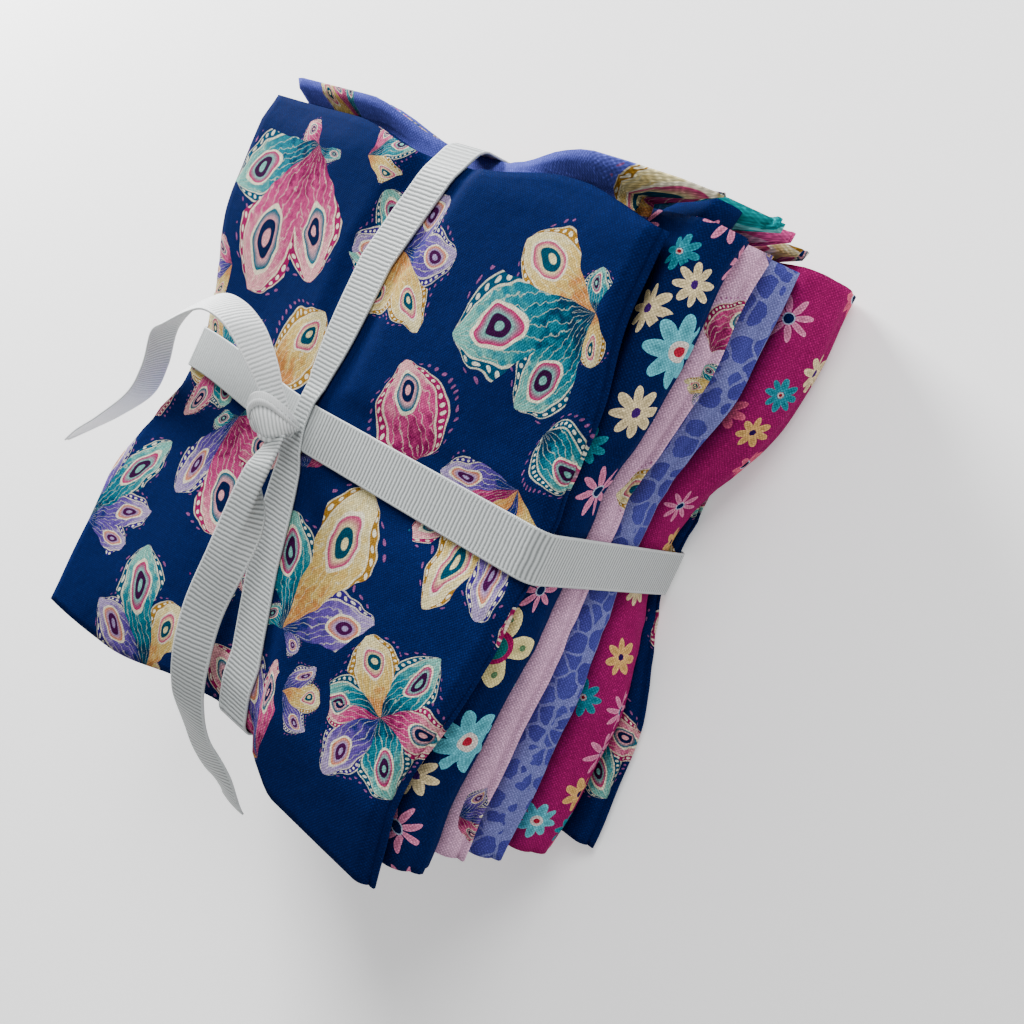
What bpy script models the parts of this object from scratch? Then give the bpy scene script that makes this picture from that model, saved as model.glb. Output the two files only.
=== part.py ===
# Fat quarter bundle: ten folded cottons, stacked and tied both ways with a narrow ribbon.
# Metres, +Z up. The bundle lies on its back: +Z is the face of the stack, +X the side whose
# folds show, +Y the far end. Every cloth is one back-and-forth section of four plies.

import math
from collections import namedtuple

import bmesh
import bpy
from mathutils import Matrix, Vector

MM = 0.001

# Driving sizes of the stack
HALF_WIDTH = 66 * MM
HEIGHT = 68.6 * MM
INNER_X = 50 * MM          # where the alternate folds stop and the others swell
PLY = 1.0 * MM             # one modelled ply: four thicknesses of cotton, pressed
PLY_PITCH = 1.42 * MM      # ply to ply inside one cloth, where there is room
CLEARANCE = 0.4 * MM       # between one cloth and the next
OPEN_EDGE_X = 49.5 * MM    # how far the open edges reach on the side away from the fold
OUTER_OPEN_X = 67.5 * MM   # how far those of the face and back cloths reach
OUTER_OPEN_TIED = 64.8 * MM  # and how far they do under the ribbon
LOOSE_LENGTH = 20 * MM     # how far from the ribbon across the folds are free again
BEND_REACH = 2.5 * MM      # the inner fold's length, and how much it bellies out
BEND_BELLY = 1.5 * MM
BEND_SETBACK = 1.2 * MM    # from the outer fold's corner back to the inner fold's end
TUCKED_EDGE = 2.4 * MM     # how much shorter the inner raw edge is
FOLD_CORNER = 3.2 * MM     # corner radius of an outer fold
FOLD_SWELL = 0.7 * MM      # how much an outer fold bellies out
SHEAR = 6 * MM             # how much further along +Y the lowest cloth lies
FACE_ROUNDING = 3.2 * MM   # the face's drop at its two ends
ROUNDING_LENGTH = 12 * MM

# Driving sizes of the ribbon
RIBBON_WIDTH = 10.5 * MM
RIBBON = 1.0 * MM
RIBBON_GAP = 0.5 * MM
TIED_END_Y = 66.5 * MM     # where the lengthwise ribbon holds the ends of the cloths
PRESS_HALF = 7 * MM        # half width of the hollow that the ribbon presses
PRESS_FADE = 6 * MM
FACE_HOLLOW = 1.2 * MM
BACK_HOLLOW = 1.85 * MM    # the back cloth's lift over one ribbon
CROSSING_HOLLOW = 1.55 * MM  # and the extra lift where the ribbons cross
LEFT_PINCH = 6.5 * MM      # how far the ribbon across draws the sides in
RIGHT_PINCH_TOP = 1.5 * MM
RIGHT_PINCH_BACK = 8.5 * MM
PINCH_Y = 4 * MM
PINCH_LENGTH = 34 * MM
PINCH_POWER = 1.5
EDGE_SQUASH = 0.05         # how much the ribbon flattens the edges of the stack
END_SQUASH = 0.03
RIBBON_DRIFT = 1.5 * MM    # how much straighter the ribbon across runs than the cloths
SIDE_EASE = 1.3 * MM       # and how far off them it stays at the sides
HELD_HALF = 10 * MM        # the part of each end that the lengthwise ribbon holds
HELD_LENGTH = 24 * MM

# The part's origin is the middle of its whole outline, on the surface it lies on.
FRAME_SHIFT = Vector((20.9, 5.85, 0)) * MM

# Stations along Y. The outer two at each end are offsets from the cloth's own end.
STATIONS = [-58 * MM, -30 * MM, -PRESS_HALF, PRESS_HALF, 30 * MM, 58 * MM]
END_STEP = 4 * MM
LIP_STEP = 1.7 * MM        # the same at a far end that rolls up
LIP_ROOM = 1.2 * MM        # how much sooner the cloths beside it end, under the ribbon
CORNER_STEPS = 3           # steps of the ribbon's turn round an edge
FLAT_WITHIN = 0.01 * MM    # what counts as flat under the lowest cloth

# One row for each cloth, from the face to the back, in mm. fold is +1 for a fold on +X.
# left to right: the cloth's share of the stack's height at x = -66, -50, 0, 50 and 66.
# far and near: its end on +Y and -Y before the shear. out_far, out_near: its fold's reach.
# lip: how far its far end rises over the edge of the stack.
Cloth = namedtuple(
    "Cloth",
    "name fold left inner_left middle inner_right right far near out_far out_near lip colour",
)
CLOTHS = [
    Cloth("cloth_navy_face", 1, 6.4, 6.2, 6.5, 5.8, 6.0, 66.0, -70.8, 0, 0, 0.0, (0.004, 0.017, 0.11)),
    Cloth("cloth_periwinkle", -1, 14, 8.0, 6.8, 6.1, 0, 72.4, -72.8, -1.0, 0.0, 3.2, (0.11, 0.13, 0.50)),
    Cloth("cloth_navy_daisy", 1, 0, 6.1, 7.2, 8.8, 15.5, 66.7, -70.3, -1.5, -1.0, 0.0, (0.003, 0.014, 0.09)),
    Cloth("cloth_teal_dots", -1, 14, 8.0, 6.8, 6.1, 0, 72.6, -69.9, 1.0, -1.0, 2.4, (0.10, 0.40, 0.40)),
    Cloth("cloth_pink_scroll", 1, 0, 6.1, 6.6, 7.4, 11.5, 66.8, -69.4, -1.0, -1.4, 0.0, (0.52, 0.26, 0.38)),
    Cloth("cloth_pink_dots", -1, 14, 8.0, 6.8, 6.1, 0, 72.8, -73.0, 0.0, 1.5, 2.4, (0.62, 0.30, 0.42)),
    Cloth("cloth_blue_dots", 1, 0, 6.1, 6.9, 7.9, 13.5, 68.6, -70.4, -0.4, 0.0, 0.0, (0.15, 0.17, 0.42)),
    Cloth("cloth_cream", -1, 14, 8.0, 6.8, 6.1, 0, 73.0, -70.0, 2.0, 0.5, 0.0, (0.72, 0.66, 0.50)),
    Cloth("cloth_magenta", 1, 0, 6.1, 7.3, 8.7, 16.5, 72.0, -69.8, 3.0, 0.6, 0.0, (0.27, 0.01, 0.12)),
    Cloth("cloth_navy_back", 1, 6.0, 6.1, 6.6, 5.6, 5.5, 69.0, -68.0, 1.5, 1.5, 0.0, (0.004, 0.017, 0.11)),
]

# The lengthwise ribbon's middle on the face, far end to near end, in mm.
RibbonPlace = namedtuple("RibbonPlace", "y x")
FACE_RIBBON = [
    RibbonPlace(68, 1.0),
    RibbonPlace(40, -6.0),
    RibbonPlace(12, -6.8),
    RibbonPlace(-1, -6.2),
    RibbonPlace(-31, 1.0),
    RibbonPlace(-52, 8.0),
    RibbonPlace(-68, 8.6),
]
BACK_RIBBON_FAR_X = 1.0 * MM
BACK_RIBBON_NEAR_X = 8.0 * MM

# The free ends' middle lines from the knot outwards, in mm, and the turn of the ribbon's
# width about its own line, in degrees, where 0 lies level.
TailPlace = namedtuple("TailPlace", "x y z turn")
SIDE_TAIL = [
    TailPlace(-10.1, 2.9, 75.4, -50),
    TailPlace(-13.0, 9.1, 79.0, -58),
    TailPlace(-19.1, 14.8, 82.5, -68),
    TailPlace(-26.5, 16.6, 84.0, -62),
    TailPlace(-34.6, 15.1, 83.5, -48),
    TailPlace(-47.9, 9.5, 79.5, -44),
    TailPlace(-58.1, 4.0, 75.0, -56),
    TailPlace(-65.2, -5.9, 69.0, -72),
    TailPlace(-73.3, -15.2, 64.5, -78),
    TailPlace(-89.3, -26.1, 60.0, -75),
    TailPlace(-112.7, -42.5, 56.0, -72),
]
NEAR_TAIL = [
    TailPlace(-1.8, -7.9, 74.6, -20),
    TailPlace(2.8, -8.5, 75.0, -12),
    TailPlace(3.3, -17.1, 77.0, 6),
    TailPlace(0.3, -32.7, 77.0, 18),
    TailPlace(-0.8, -45.2, 76.0, 18),
    TailPlace(0.3, -56.8, 74.5, 14),
    TailPlace(0.5, -66.3, 70.5, 8),
    TailPlace(1.2, -75.6, 63.0, -4),
    TailPlace(4.4, -84.0, 54.5, -9),
    TailPlace(5.3, -89.5, 49.0, -9),
]

# The knot, a rounded lump between the ribbon and the free ends
KNOT_PLACE = Vector((-4.6, 0.3, 73.8)) * MM
KNOT_SIZE = Vector((11.5, 13.0, 6.4)) * MM
KNOT_TURN = math.radians(-28)
KNOT_WAIST = 0.16          # how deep the wrap draws the lump in beside itself
KNOT_WAVES = 2.5
KNOT_COLUMNS = 16
KNOT_ROWS = 9

RIBBON_COLOUR = (0.74, 0.77, 0.74)
CLOTH_ROUGHNESS = 0.85
RIBBON_ROUGHNESS = 0.55


def fade(distance, flat, length):
    """1 up to flat, falling smoothly to 0 over length."""
    t = min(max((abs(distance) - flat) / length, 0.0), 1.0)
    return 1 - t * t * (3 - 2 * t)


def between(rows, key, value, at):
    """Straight-line value of a table's column at a place along its key column, in mm."""
    rows = sorted(rows, key=lambda row: getattr(row, key))
    for low, high in zip(rows, rows[1:]):
        if at <= getattr(high, key):
            break
    span = getattr(high, key) - getattr(low, key)
    t = min(max((at - getattr(low, key)) / span, 0.0), 1.0)
    return getattr(low, value) + t * (getattr(high, value) - getattr(low, value))


def depth(z):
    return min(max(z / HEIGHT, 0.0), 1.0)


def ribbon_x(y, z):
    """Middle of the lengthwise ribbon's line through the stack at this height."""
    face = between(FACE_RIBBON, "y", "x", y / MM) * MM
    t = min(max((y + TIED_END_Y) / (2 * TIED_END_Y), 0.0), 1.0)
    back = BACK_RIBBON_NEAR_X + t * (BACK_RIBBON_FAR_X - BACK_RIBBON_NEAR_X)
    return back + (face - back) * depth(z)


def tied(x, y, z):
    """Where a place in the straight, evenly pressed stack ends up once the ribbon is tied."""
    h = depth(z)
    across = fade(y, PRESS_HALF, PRESS_FADE)
    along = fade(x - ribbon_x(y, z), PRESS_HALF, PRESS_FADE)
    wide_across = fade(y - PINCH_Y, PRESS_HALF, PINCH_LENGTH)
    reach = (min(abs(x), HALF_WIDTH) / HALF_WIDTH) ** PINCH_POWER
    pinch = LEFT_PINCH if x < 0 else RIGHT_PINCH_BACK + (RIGHT_PINCH_TOP - RIGHT_PINCH_BACK) * h
    squash = EDGE_SQUASH * wide_across * reach + END_SQUASH * along * (y / HALF_WIDTH) ** 2
    end = max(abs(y) - STATIONS[-1], 0.0) / ROUNDING_LENGTH
    lift = BACK_HOLLOW * max(across, along) + CROSSING_HOLLOW * across * along
    moved_x = x - math.copysign(pinch * wide_across * reach, x)
    moved_y = y + SHEAR * (1 - h)
    moved_z = PLY / 2 + (z - PLY / 2) * (1 - squash)
    moved_z -= FACE_HOLLOW * max(across, along) * h**3 + FACE_ROUNDING * end * h**2
    moved_z += lift * (1 - h) ** 6
    return Vector((moved_x, moved_y, moved_z)) + FRAME_SHIFT


def share(cloth, x):
    """The cloth's share of the stack's height at x."""
    knots = [-HALF_WIDTH, -INNER_X, 0.0, INNER_X, HALF_WIDTH]
    x = min(max(x, -HALF_WIDTH), HALF_WIDTH)
    shares = []
    for row in CLOTHS:
        values = (row.left, row.inner_left, row.middle, row.inner_right, row.right)
        index = next(i for i in range(1, 5) if x <= knots[i])
        t = (x - knots[index - 1]) / (knots[index] - knots[index - 1])
        shares.append(values[index - 1] + t * (values[index] - values[index - 1]))
    total = sum(shares)
    place = CLOTHS.index(cloth)
    low = sum(shares[place + 1:]) / total * HEIGHT
    return low, low + shares[place] / total * HEIGHT


def arc(centre_u, centre_z, reach, rise, start, stop, steps):
    """Points of an elliptical arc, its ends left out, with angles in degrees."""
    points = []
    for step in range(1, steps):
        angle = math.radians(start + (stop - start) * step / steps)
        points.append((centre_u + reach * math.cos(angle), centre_z + rise * math.sin(angle)))
    return points


def section(cloth, y):
    """The cloth's four plies at y, as one line of (x, z) from its outer edge to its inner one."""
    side = cloth.fold
    bare_surface = {CLOTHS[0]: 1, CLOTHS[-1]: 0}.get(cloth)
    outermost = bare_surface is not None

    def knots(surface):
        """Where the section's lines bend beside the lengthwise ribbon."""
        middle = ribbon_x(y, share(cloth, 0.0)[surface]) * side
        places = [middle - PRESS_HALF, middle + PRESS_HALF]
        if surface == bare_surface:
            places = [places[0] - PRESS_FADE] + places + [places[1] + PRESS_FADE]
        return ([-INNER_X] if outermost else []) + places + [INNER_X]

    inner_middle = ribbon_x(y, share(cloth, 0.0)[0]) * side
    inner_knots = [inner_middle - PRESS_HALF, inner_middle + PRESS_HALF, INNER_X]
    loose = 1 - fade(y, PRESS_HALF, LOOSE_LENGTH)
    out = cloth.out_near + (cloth.out_far - cloth.out_near) * (y + HALF_WIDTH) / (2 * HALF_WIDTH)
    fold_u = HALF_WIDTH + out * MM * loose
    open_u = -OPEN_EDGE_X
    if outermost:
        open_u = -OUTER_OPEN_TIED - (OUTER_OPEN_X - OUTER_OPEN_TIED) * loose

    def low(u):
        clearance = 0.0 if cloth is CLOTHS[-1] else CLEARANCE / 2
        return share(cloth, u * side)[0] + clearance + PLY / 2

    def high(u):
        return share(cloth, u * side)[1] - CLEARANCE / 2 - PLY / 2

    def pitch(u):
        return min(PLY_PITCH, (high(u) - low(u)) / 3.05)

    corner = min(FOLD_CORNER, (high(fold_u) - low(fold_u)) / 2.2)
    turn = pitch(open_u) / 2
    inner_corner = fold_u - corner - BEND_SETBACK
    top, bottom = high(fold_u), low(fold_u)
    line = [(open_u, high(open_u))]
    line += [(u, high(u)) for u in knots(1)]
    line += [(fold_u - corner, top)]
    line += arc(fold_u - corner, top - corner, corner, corner, 90, 0, 2)
    line += [(fold_u, top - corner)]
    line += [(fold_u + FOLD_SWELL * loose, (top + bottom) / 2)]
    line += [(fold_u, bottom + corner)]
    line += arc(fold_u - corner, bottom + corner, corner, corner, 0, -90, 2)
    line += [(fold_u - corner, bottom)]
    line += [(u, low(u)) for u in knots(0)[::-1]]
    line += [(open_u + turn, low(open_u))]
    line += arc(open_u + turn, low(open_u) + turn, turn, turn, -90, -270, 3)
    line += [(open_u + turn, low(open_u) + 2 * turn)]
    line += [(u, low(u) + pitch(u)) for u in inner_knots]
    room = (high(inner_corner) - low(inner_corner)) / 2 - pitch(inner_corner)
    middle_z = (high(inner_corner) + low(inner_corner)) / 2
    line += arc(inner_corner - BEND_REACH, middle_z, BEND_REACH + BEND_BELLY, room, -90, 90, 4)
    line += [(u, high(u) - pitch(u)) for u in inner_knots[::-1]]
    tucked_u = open_u + TUCKED_EDGE
    line += [(tucked_u, high(tucked_u) - pitch(open_u))]
    return [(u * side, z) for u, z in line]


def held(x, y):
    """How firmly the lengthwise ribbon holds an end here, from 0 to 1."""
    return fade(x - ribbon_x(y, HEIGHT / 2), HELD_HALF, HELD_LENGTH)


def end_y(cloth, x, far):
    """The cloth's own end, drawn in to one line where the lengthwise ribbon holds it."""
    own = (cloth.far if far else -cloth.near) * MM
    drawn_in = TIED_END_Y if cloth.lip else TIED_END_Y - LIP_ROOM
    reach = own + (drawn_in - own) * held(x, own if far else -own)
    return reach if far else -reach


def lifted(cloth, x, y):
    """The rise of a far end that rolls up over the edge of the stack."""
    return Vector((0, 0, cloth.lip * MM * (1 - held(x, y))))


def grid_solid(name, rows, thickness, colour, roughness, closed=False):
    """A sheet through rows of places, given its thickness to both sides."""
    columns = len(rows[0])
    mesh = bpy.data.meshes.new(name)
    sheet = bmesh.new()
    bmesh.ops.create_grid(sheet, x_segments=columns - 1, y_segments=len(rows) - 1, size=0.5)
    for vertex in sheet.verts:
        column = round((vertex.co.x + 0.5) * (columns - 1))
        row = round((vertex.co.y + 0.5) * (len(rows) - 1))
        vertex.co = rows[row][column]
    if closed:
        bmesh.ops.remove_doubles(sheet, verts=sheet.verts, dist=1e-6)
    bmesh.ops.recalc_face_normals(sheet, faces=sheet.faces)
    sheet.to_mesh(mesh)
    sheet.free()
    piece = bpy.data.objects.new(name, mesh)
    bpy.context.scene.collection.objects.link(piece)
    solidify = piece.modifiers.new("Thickness", "SOLIDIFY")
    solidify.thickness = thickness
    solidify.offset = 0
    solidify.use_even_offset = True
    dress(piece, colour, roughness)
    return piece


def set_down(piece):
    """Fixes the thickness, and puts the flat fields underneath exactly on the surface."""
    graph = bpy.context.evaluated_depsgraph_get()
    mesh = bpy.data.meshes.new_from_object(piece.evaluated_get(graph))
    piece.modifiers.clear()
    for vertex in mesh.vertices:
        if abs(vertex.co.z) < FLAT_WITHIN:
            vertex.co.z = 0.0
    piece.data = mesh


def dress(piece, colour, roughness):
    material = bpy.data.materials.new(piece.name)
    material.use_nodes = True
    shader = material.node_tree.nodes["Principled BSDF"]
    shader.inputs["Base Color"].default_value = (*colour, 1)
    shader.inputs["Roughness"].default_value = roughness
    shader.inputs["Metallic"].default_value = 0
    piece.data.materials.append(material)


def make_cloth(cloth):
    """One fat quarter: the section at each station, and each ply's own ends."""
    near = cloth.near * MM
    far = cloth.far * MM
    far_step = LIP_STEP if cloth.lip else END_STEP
    levels = [near, near + END_STEP] + STATIONS + [far - far_step, far]
    rows = []
    for index, level in enumerate(levels):
        row = []
        for x, z in section(cloth, level):
            y = level
            if index < 2:
                y = end_y(cloth, x, False) + END_STEP * index
            elif index > len(levels) - 3:
                y = end_y(cloth, x, True) - far_step * (len(levels) - 1 - index)
            place = tied(x, y, z)
            row.append(place + lifted(cloth, x, y) if index == len(levels) - 1 else place)
        rows.append(row)
    piece = grid_solid(cloth.name, rows, PLY, cloth.colour, CLOTH_ROUGHNESS)
    if cloth is CLOTHS[-1]:
        set_down(piece)


def loop_corner(centre_a, centre_z, reach, start, stop):
    """A quarter turn of the ribbon round an edge of the stack, ends included."""
    points = []
    for step in range(CORNER_STEPS + 1):
        angle = math.radians(start + (stop - start) * step / CORNER_STEPS)
        points.append((centre_a + reach * math.cos(angle), centre_z + reach * math.sin(angle)))
    return points


def drift(z):
    """How much straighter the ribbon across runs down the sides than the cloths do."""
    return Vector((0, RIBBON_DRIFT * (1 - depth(z)), 0))


def make_ribbon_across():
    """The ribbon round the stack from side to side, under the knot."""
    off = RIBBON_GAP + RIBBON / 2
    edge = FOLD_CORNER + off
    corner_x = HALF_WIDTH + SIDE_EASE + off - edge
    top, bottom = HEIGHT + off, -off

    def run(level):
        """The places where the loop bends beside the lengthwise ribbon, and its two ends."""
        middle = ribbon_x(0.0, level)
        wide = PRESS_HALF + PRESS_FADE
        places = [middle - wide, middle - PRESS_HALF, middle + PRESS_HALF, middle + wide]
        return [(x, level) for x in [-INNER_X] + places + [INNER_X]]

    outline = run(top)
    outline += loop_corner(corner_x, top - edge, edge, 90, 0)
    outline += loop_corner(corner_x, bottom + edge, edge, 0, -90)
    outline += run(bottom)[::-1]
    outline += loop_corner(-corner_x, bottom + edge, edge, -90, -180)
    outline += loop_corner(-corner_x, top - edge, edge, -180, -270)
    outline.append(outline[0])
    rows = []
    for edge_y in (-RIBBON_WIDTH / 2, RIBBON_WIDTH / 2):
        rows.append([tied(x, edge_y, z) - drift(z) for x, z in outline])
    grid_solid("ribbon_across", rows, RIBBON, RIBBON_COLOUR, RIBBON_ROUGHNESS, closed=True)


def make_ribbon_along():
    """The ribbon round the stack from end to end, over the other one at both crossings."""
    off = RIBBON_GAP + RIBBON / 2
    step_over = RIBBON + RIBBON_GAP
    end = TIED_END_Y + off
    stations = [-TIED_END_Y + END_STEP] + STATIONS + [TIED_END_Y - END_STEP]
    top, bottom = HEIGHT + off, -off
    crossing = (-PRESS_HALF, PRESS_HALF)
    face_run = [(y, top + (step_over if y in crossing else 0)) for y in stations]
    back_run = [(y, bottom - (step_over if y in crossing else 0)) for y in stations]
    outline = face_run + loop_corner(end - off, top - off, off, 90, 0)
    outline += loop_corner(end - off, bottom + off, off, 0, -90) + back_run[::-1]
    outline += loop_corner(-end + off, bottom + off, off, -90, -180)
    outline += loop_corner(-end + off, top - off, off, -180, -270)
    outline.append(outline[0])
    rows = []
    for edge_x in (-RIBBON_WIDTH / 2, RIBBON_WIDTH / 2):
        rows.append([tied(ribbon_x(y, z) + edge_x, y, z) for y, z in outline])
    grid_solid("ribbon_along", rows, RIBBON, RIBBON_COLOUR, RIBBON_ROUGHNESS, closed=True)


def make_tail(name, places):
    """A free end: the ribbon's width carried along a smooth line, turned as it goes."""
    middle = [Vector(place[:3]) * MM for place in places]
    rows = []
    for index, place in enumerate(places):
        before, after = middle[max(index - 1, 0)], middle[min(index + 1, len(places) - 1)]
        line = (after - before).normalized()
        level = line.cross(Vector((0, 0, 1))).normalized()
        lift = level.cross(line)
        angle = math.radians(place.turn)
        half = (level * math.cos(angle) + lift * math.sin(angle)) * RIBBON_WIDTH / 2
        rows.append([middle[index] - half + FRAME_SHIFT, middle[index] + half + FRAME_SHIFT])
    grid_solid(name, rows, RIBBON, RIBBON_COLOUR, RIBBON_ROUGHNESS)


def make_knot():
    """A flattened ball, drawn in on both sides of the ribbon that wraps it."""
    mesh = bpy.data.meshes.new("ribbon_knot")
    lump = bmesh.new()
    bmesh.ops.create_uvsphere(lump, u_segments=KNOT_COLUMNS, v_segments=KNOT_ROWS, radius=0.5)
    turn = Matrix.Rotation(KNOT_TURN, 3, "Z")
    for vertex in lump.verts:
        waist = 1 - KNOT_WAIST * (1 - math.cos(KNOT_WAVES * 2 * math.pi * vertex.co.y)) / 2
        vertex.co.x *= waist
        vertex.co.z *= waist
        vertex.co = turn @ (vertex.co * KNOT_SIZE) + KNOT_PLACE + FRAME_SHIFT
    bmesh.ops.recalc_face_normals(lump, faces=lump.faces)
    lump.to_mesh(mesh)
    lump.free()
    mesh.shade_smooth()
    piece = bpy.data.objects.new("ribbon_knot", mesh)
    bpy.context.scene.collection.objects.link(piece)
    dress(piece, RIBBON_COLOUR, RIBBON_ROUGHNESS)


for leftover in list(bpy.data.objects):
    bpy.data.objects.remove(leftover, do_unlink=True)
for cloth_row in CLOTHS:
    make_cloth(cloth_row)
make_ribbon_across()
make_ribbon_along()
make_knot()
make_tail("ribbon_tail_side", SIDE_TAIL)
make_tail("ribbon_tail_near", NEAR_TAIL)
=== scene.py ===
import math
from collections import namedtuple

import bmesh
import bpy
from mathutils import Matrix, Vector


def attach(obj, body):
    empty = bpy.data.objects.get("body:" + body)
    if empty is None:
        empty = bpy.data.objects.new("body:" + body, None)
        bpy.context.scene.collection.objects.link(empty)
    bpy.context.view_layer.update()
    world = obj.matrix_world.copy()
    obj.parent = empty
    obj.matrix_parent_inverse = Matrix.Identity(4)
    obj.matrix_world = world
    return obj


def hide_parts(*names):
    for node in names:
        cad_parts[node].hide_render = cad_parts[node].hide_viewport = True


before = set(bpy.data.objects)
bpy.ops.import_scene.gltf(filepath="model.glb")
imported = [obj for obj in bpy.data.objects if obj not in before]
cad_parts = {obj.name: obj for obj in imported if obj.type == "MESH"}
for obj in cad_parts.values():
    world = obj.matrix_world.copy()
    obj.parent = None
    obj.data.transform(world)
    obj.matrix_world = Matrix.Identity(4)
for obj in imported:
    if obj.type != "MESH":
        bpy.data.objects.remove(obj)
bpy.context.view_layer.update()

mm = 0.001
print("frame loaded")


def fade(distance, flat, length):
    t = min(max((abs(distance) - flat) / length, 0), 1)
    return 1 - t * t * (3 - 2 * t)


def rise(value, start, stop):  # 0 before start, 1 after stop
    t = min(max((value - start) / (stop - start), 0), 1)
    return t * t * (3 - 2 * t)


def lerp(a, b, t):
    return a + (b - a) * t


def smoothLine(points, steps):  # a Catmull-Rom line through the points
    result = []
    for index in range(len(points) - 1):
        p = [points[min(max(index + k, 0), len(points) - 1)] for k in (-1, 0, 1, 2)]
        for step in range(steps):
            t = step / steps
            weights = ((-t + 2 * t * t - t**3) / 2, (2 - 5 * t * t + 3 * t**3) / 2,
                       (t + 4 * t * t - 3 * t**3) / 2, (t**3 - t * t) / 2)
            result.append([sum(w * q[k] for w, q in zip(weights, p)) for k in range(len(p[0]))])
    return result + [list(points[-1])]


def linear(screen):  # 0 to 255 screen values to the shader's own
    return tuple((c / 255 / 12.92) if c < 10 else ((c / 255 + 0.055) / 1.055) ** 2.4 for c in screen)


stack = {
    "halfWidth": 66, "height": 68.6, "innerX": 50, "ply": 0.8, "plyPitch": 1.42, "clearance": 0.4,
    "openX": 49.5, "outerOpenX": 67.5, "outerOpenTied": 64.8, "corner": 4.4, "swell": 1.5,
    "looseLength": 20, "shear": 6, "shift": Vector((20.9, 5.85, 0)),
    "faceRounding": 3.2, "roundingFar": 62, "roundingNear": 58, "roundingLength": 12,
    "roundingX": (-66, -20),
    "tiedFar": 70.0, "tiedNear": 66.5, "heldHalf": 10, "heldLength": 24, "heldNearLeft": 40,
    "heldNearHalf": 7, "heldNearRight": 15, "endRoom": 4.5, "nearRoom": 1.2,
    "faceNarrows": (18, 56), "faceSlant": 4.5, "faceSlantX": (38, 64), "openFar": 71,
    "openFarX": (12, 42),
}
press = {
    "half": 7, "fade": 6, "faceHollow": 1.2, "backHollow": 1.85, "crossingHollow": 1.55,
    "left": 6.5, "rightTop": 1.5, "rightBack": 8.5, "pinchY": 4, "pinchLength": 34, "pinchPower": 1.5,
    "edgeSquash": 0.05, "endSquash": 0.03, "drift": 1.5, "sideEase": 1.3,
}

# fold: the side that its fold shows on. Five thicknesses from left to right. far, near: where it ends.
# outFar, outNear: how far the fold reaches beyond the stack there. lip: how far its far edge curls up.
Cloth = namedtuple(
    "Cloth", "name fold left innerLeft middle innerRight right far near outFar outNear lip slot")
cloths = [
    Cloth("cloth_navy_face", 1, 6.4, 6.2, 6.5, 5.8, 6.0, 69.0, -73.5, -5, -5, 0, "navy_print"),
    Cloth("cloth_periwinkle", -1, 14, 8, 6.8, 6.1, 0, 74.2, -72.8, -1, 0, 7.0, "periwinkle_print"),
    Cloth("cloth_navy_daisy", 1, 0, 6.1, 7.2, 8.8, 15.5, 69.6, -70.3, 2.5, -3, 0, "navy_daisy_print"),
    Cloth("cloth_teal_dots", -1, 14, 8, 6.8, 6.1, 0, 75.8, -69.9, 1, -1, 0, "teal_dot_print"),
    Cloth("cloth_pink_scroll", 1, 0, 6.1, 6.6, 7.4, 11.5, 69.6, -69.4, 1.5, -3.5, 0, "pink_print"),
    Cloth("cloth_pink_dots", -1, 14, 8, 6.8, 6.1, 0, 75.8, -73.0, 0, 1.5, 0, "pink_dot_print"),
    Cloth("cloth_blue_dots", 1, 0, 6.1, 6.9, 7.9, 13.5, 69.6, -70.4, 1.5, -2.5, 0, "blue_dot_print"),
    Cloth("cloth_cream", -1, 14, 8, 6.8, 6.1, 0, 75.0, -70.0, 2, 0.5, 0, "cream_print"),
    Cloth("cloth_magenta", 1, 0, 6.1, 7.3, 8.7, 16.5, 72.0, -69.8, 4.5, -1, 0, "magenta_print"),
    Cloth("cloth_navy_back", 1, 6.0, 6.1, 6.6, 5.6, 5.5, 69.0, -66.5, -7, 3.5, 0, "navy_print"),
]

# The lengthwise ribbon's middle on the face, as (y, x), and on the back
ribbonPath = {
    "face": [(-68, 8.6), (-52, 8.0), (-31, 1.0), (-1, -6.2), (12, -6.8), (40, -6.0), (71, 1.5)],
    "backFar": 1.0, "backNear": 8.0, "width": 10.5, "gap": 0.3, "thick": 0.5, "crown": 0.3,
    "slant": 3.2, "edgeAcross": 3.2, "edgeAlong": 2.2, "humpHalf": 5.5, "humpLength": 4,
    "gather": 0.5, "gatherY": 3, "gatherLength": 12,
}


def depth(z):
    return min(max(z / stack["height"], 0), 1)


def ribbonX(y, z):
    table = ribbonPath["face"]
    for low, high in zip(table, table[1:]):
        if y <= high[0]:
            break
    t = min(max((y - low[0]) / (high[0] - low[0]), 0), 1)
    along = min(max((y + stack["tiedNear"]) / (stack["tiedFar"] + stack["tiedNear"]), 0), 1)
    back = lerp(ribbonPath["backNear"], ribbonPath["backFar"], along)
    return lerp(back, lerp(low[1], high[1], t), depth(z))


ripples = {"face": 0.45, "side": 0.7, "pucker": 0.9, "puckerReach": 20, "puckerPitch": 7.5}


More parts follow.
